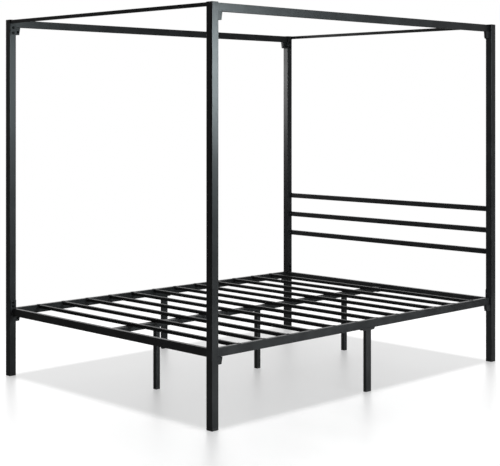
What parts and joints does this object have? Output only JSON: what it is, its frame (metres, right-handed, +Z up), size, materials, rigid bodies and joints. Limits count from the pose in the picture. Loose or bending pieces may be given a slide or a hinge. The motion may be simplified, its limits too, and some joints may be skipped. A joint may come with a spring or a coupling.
{
  "type": "four poster canopy bed",
  "caption": "Four poster canopy bed in black square steel tube: slatted deck on side and centre rails, legs, a barred headboard and an open canopy frame.",
  "frame": {"origin": "on the floor under the middle of the bed", "axes": "+X across the bed, +Y along it towards the headboard, +Z up"},
  "size_m": [1.6, 2.108, 1.855],
  "materials": {
    "black_powder_coat": "satin powder coat with a fine grain",
    "black_plastic": "moulded, matte",
    "dark_zinc_hardware": "black zinc, semi-gloss"
  },
  "bodies": {
    "root": {"bracket_screws": "dark_zinc_hardware", "canopy_corner_bracket_foot_left": "black_powder_coat", "canopy_corner_bracket_foot_right": "black_powder_coat", "canopy_corner_bracket_head_left": "black_powder_coat", "canopy_corner_bracket_head_right": "black_powder_coat", "canopy_foot_bar": "black_powder_coat", "canopy_head_bar": "black_powder_coat", "canopy_side_rail_left": "black_powder_coat", "canopy_side_rail_right": "black_powder_coat", "centre_leg_foot": "black_powder_coat", "centre_leg_foot_caps": "black_plastic", "centre_leg_head": "black_powder_coat", "centre_leg_inserts": "black_plastic", "centre_leg_middle": "black_powder_coat", "centre_leg_studs": "dark_zinc_hardware", "centre_rail": "black_powder_coat", "centre_rail_brackets": "black_powder_coat", "corner_bolts": "dark_zinc_hardware", "corner_nuts": "dark_zinc_hardware", "crossbar_end_plates": "black_powder_coat", "deck_corner_bracket_foot_left": "black_powder_coat", "deck_corner_bracket_foot_right": "black_powder_coat", "deck_corner_bracket_head_left": "black_powder_coat", "deck_corner_bracket_head_right": "black_powder_coat", "end_plate_bolts": "dark_zinc_hardware", "foot_rail": "black_powder_coat", "head_rail": "black_powder_coat", "headboard_bar_lower": "black_powder_coat", "headboard_bar_middle": "black_powder_coat", "headboard_bar_upper": "black_powder_coat", "post_foot_caps": "black_plastic", "post_foot_left": "black_powder_coat", "post_foot_right": "black_powder_coat", "post_head_left": "black_powder_coat", "post_head_right": "black_powder_coat", "post_top_caps": "black_plastic", "rail_end_tabs": "black_powder_coat", "side_leg_bracket_left": "black_powder_coat", "side_leg_bracket_right": "black_powder_coat", "side_leg_foot_caps": "black_plastic", "side_leg_left": "black_powder_coat", "side_leg_right": "black_powder_coat", "side_rail_left": "black_powder_coat", "side_rail_right": "black_powder_coat", "slat_01": "black_powder_coat", "slat_02": "black_powder_coat", "slat_03": "black_powder_coat", "slat_04": "black_powder_coat", "slat_05": "black_powder_coat", "slat_06": "black_powder_coat", "slat_07": "black_powder_coat", "slat_08": "black_powder_coat", "slat_09": "black_powder_coat", "slat_10": "black_powder_coat", "slat_11": "black_powder_coat", "slat_12": "black_powder_coat", "slat_end_caps": "black_plastic", "weld_nuts_m6": "dark_zinc_hardware", "weld_nuts_m8": "dark_zinc_hardware"}
  },
  "joints": []
}
